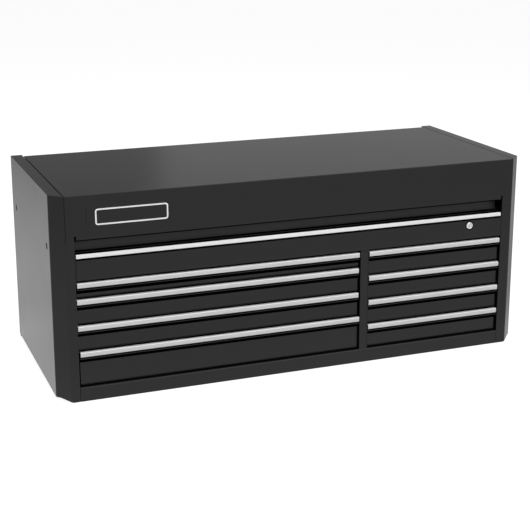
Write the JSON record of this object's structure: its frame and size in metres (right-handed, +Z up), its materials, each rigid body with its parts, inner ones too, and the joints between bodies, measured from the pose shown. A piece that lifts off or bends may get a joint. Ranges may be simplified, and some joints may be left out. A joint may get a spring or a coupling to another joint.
{
  "type": "tool chest",
  "caption": "Wide black steel top chest: a hinged lid with a deep front apron over a till, a locking full-width drawer, and banks of drawers side by side with bright full-width pulls.",
  "frame": {"origin": "middle of the chest's footprint, at the floor", "axes": "+X to the right as seen from the front, +Y to the back, +Z up; the drawers open along -Y"},
  "size_m": [1.448, 0.5996, 0.585],
  "materials": {
    "painted_steel": "satin black powder coat",
    "inner_steel": "matt black",
    "pull_aluminium": "clear anodised, fine brushed",
    "plated_steel": "zinc plated",
    "lock_chrome": "polished",
    "plug_plastic": "moulded black"
  },
  "bodies": {
    "case": {"left_side": "painted_steel", "right_side": "painted_steel", "back_panel": "painted_steel", "base_pan": "painted_steel", "front_rail": "painted_steel", "partition": "painted_steel", "drawer_deck": "inner_steel", "till_tray": "painted_steel", "left_slide_frame": "inner_steel", "right_slide_frame": "inner_steel", "hinge_fixed_leaf": "plated_steel", "left_front_plug": "plug_plastic", "left_rear_plug": "plug_plastic", "right_front_plug": "plug_plastic", "right_rear_plug": "plug_plastic", "top_drawer_left_slide": "plated_steel", "top_drawer_right_slide": "plated_steel", "left_drawer_1_left_slide": "plated_steel", "left_drawer_1_right_slide": "plated_steel", "left_drawer_2_left_slide": "plated_steel", "left_drawer_2_right_slide": "plated_steel", "left_drawer_3_left_slide": "plated_steel", "left_drawer_3_right_slide": "plated_steel", "left_drawer_4_left_slide": "plated_steel", "left_drawer_4_right_slide": "plated_steel", "right_drawer_1_left_slide": "plated_steel", "right_drawer_1_right_slide": "plated_steel", "right_drawer_2_left_slide": "plated_steel", "right_drawer_2_right_slide": "plated_steel", "right_drawer_3_left_slide": "plated_steel", "right_drawer_3_right_slide": "plated_steel", "right_drawer_4_left_slide": "plated_steel", "right_drawer_4_right_slide": "plated_steel"},
    "lid": {"lid": "painted_steel", "hinge_lid_leaf": "plated_steel", "name_plate": "painted_steel"},
    "top_drawer": {"top_drawer": "painted_steel", "top_drawer_pull": "pull_aluminium", "lock_housing": "lock_chrome"},
    "left_drawer_1": {"left_drawer_1": "painted_steel", "left_drawer_1_pull": "pull_aluminium"},
    "left_drawer_2": {"left_drawer_2": "painted_steel", "left_drawer_2_pull": "pull_aluminium"},
    "left_drawer_3": {"left_drawer_3": "painted_steel", "left_drawer_3_pull": "pull_aluminium"},
    "left_drawer_4": {"left_drawer_4": "painted_steel", "left_drawer_4_pull": "pull_aluminium"},
    "right_drawer_1": {"right_drawer_1": "painted_steel", "right_drawer_1_pull": "pull_aluminium"},
    "right_drawer_2": {"right_drawer_2": "painted_steel", "right_drawer_2_pull": "pull_aluminium"},
    "right_drawer_3": {"right_drawer_3": "painted_steel", "right_drawer_3_pull": "pull_aluminium"},
    "right_drawer_4": {"right_drawer_4": "painted_steel", "right_drawer_4_pull": "pull_aluminium"},
    "lock_plug": {"lock_plug": "lock_chrome"},
    "left_strut_tube": {"left_strut_tube": "inner_steel"},
    "left_strut_rod": {"left_strut_rod": "plated_steel"},
    "right_strut_tube": {"right_strut_tube": "inner_steel"},
    "right_strut_rod": {"right_strut_rod": "plated_steel"}
  },
  "joints": [
    {"name": "lid_hinge", "type": "hinge", "parent": "case", "child": "lid", "pos_m": [0, 0.28775, 0.576], "axis": [-1, 0, 0], "range_deg": [0, 80]},
    {"name": "top_drawer_slide", "type": "slide", "parent": "case", "child": "top_drawer", "axis": [0, -1, 0], "range_m": [0, 0.43]},
    {"name": "left_drawer_1_slide", "type": "slide", "parent": "case", "child": "left_drawer_1", "axis": [0, -1, 0], "range_m": [0, 0.43]},
    {"name": "left_drawer_2_slide", "type": "slide", "parent": "case", "child": "left_drawer_2", "axis": [0, -1, 0], "range_m": [0, 0.43]},
    {"name": "left_drawer_3_slide", "type": "slide", "parent": "case", "child": "left_drawer_3", "axis": [0, -1, 0], "range_m": [0, 0.43]},
    {"name": "left_drawer_4_slide", "type": "slide", "parent": "case", "child": "left_drawer_4", "axis": [0, -1, 0], "range_m": [0, 0.43]},
    {"name": "right_drawer_1_slide", "type": "slide", "parent": "case", "child": "right_drawer_1", "axis": [0, -1, 0], "range_m": [0, 0.43]},
    {"name": "right_drawer_2_slide", "type": "slide", "parent": "case", "child": "right_drawer_2", "axis": [0, -1, 0], "range_m": [0, 0.43]},
    {"name": "right_drawer_3_slide", "type": "slide", "parent": "case", "child": "right_drawer_3", "axis": [0, -1, 0], "range_m": [0, 0.43]},
    {"name": "right_drawer_4_slide", "type": "slide", "parent": "case", "child": "right_drawer_4", "axis": [0, -1, 0], "range_m": [0, 0.43]},
    {"name": "lock_turn", "type": "hinge", "parent": "top_drawer", "child": "lock_plug", "pos_m": [0.545, -0.29725, 0.3904], "axis": [0, 1, 0], "range_deg": [0, 90]},
    {"name": "left_strut_swing", "type": "hinge", "parent": "case", "child": "left_strut_tube", "pos_m": [-0.6743, 0.25875, 0.516], "axis": [-1, 0, 0], "range_deg": [0, 74.8]},
    {"name": "left_strut_stroke", "type": "slide", "parent": "left_strut_tube", "child": "left_strut_rod", "axis": [0, -0.9893, 0.146], "range_m": [0, 0.0808]},
    {"name": "right_strut_swing", "type": "hinge", "parent": "case", "child": "right_strut_tube", "pos_m": [0.6668, 0.25875, 0.516], "axis": [-1, 0, 0], "range_deg": [0, 74.8]},
    {"name": "right_strut_stroke", "type": "slide", "parent": "right_strut_tube", "child": "right_strut_rod", "axis": [0, -0.9893, 0.146], "range_m": [0, 0.0808]}
  ],
  "couplings": [
    {"joint": "left_strut_swing", "follows": "lid_hinge", "ratio": 0.9334},
    {"joint": "left_strut_stroke", "follows": "lid_hinge", "m_per_rad": 0.057743},
    {"joint": "right_strut_swing", "follows": "lid_hinge", "ratio": 0.9334},
    {"joint": "right_strut_stroke", "follows": "lid_hinge", "m_per_rad": 0.057743}
  ]
}
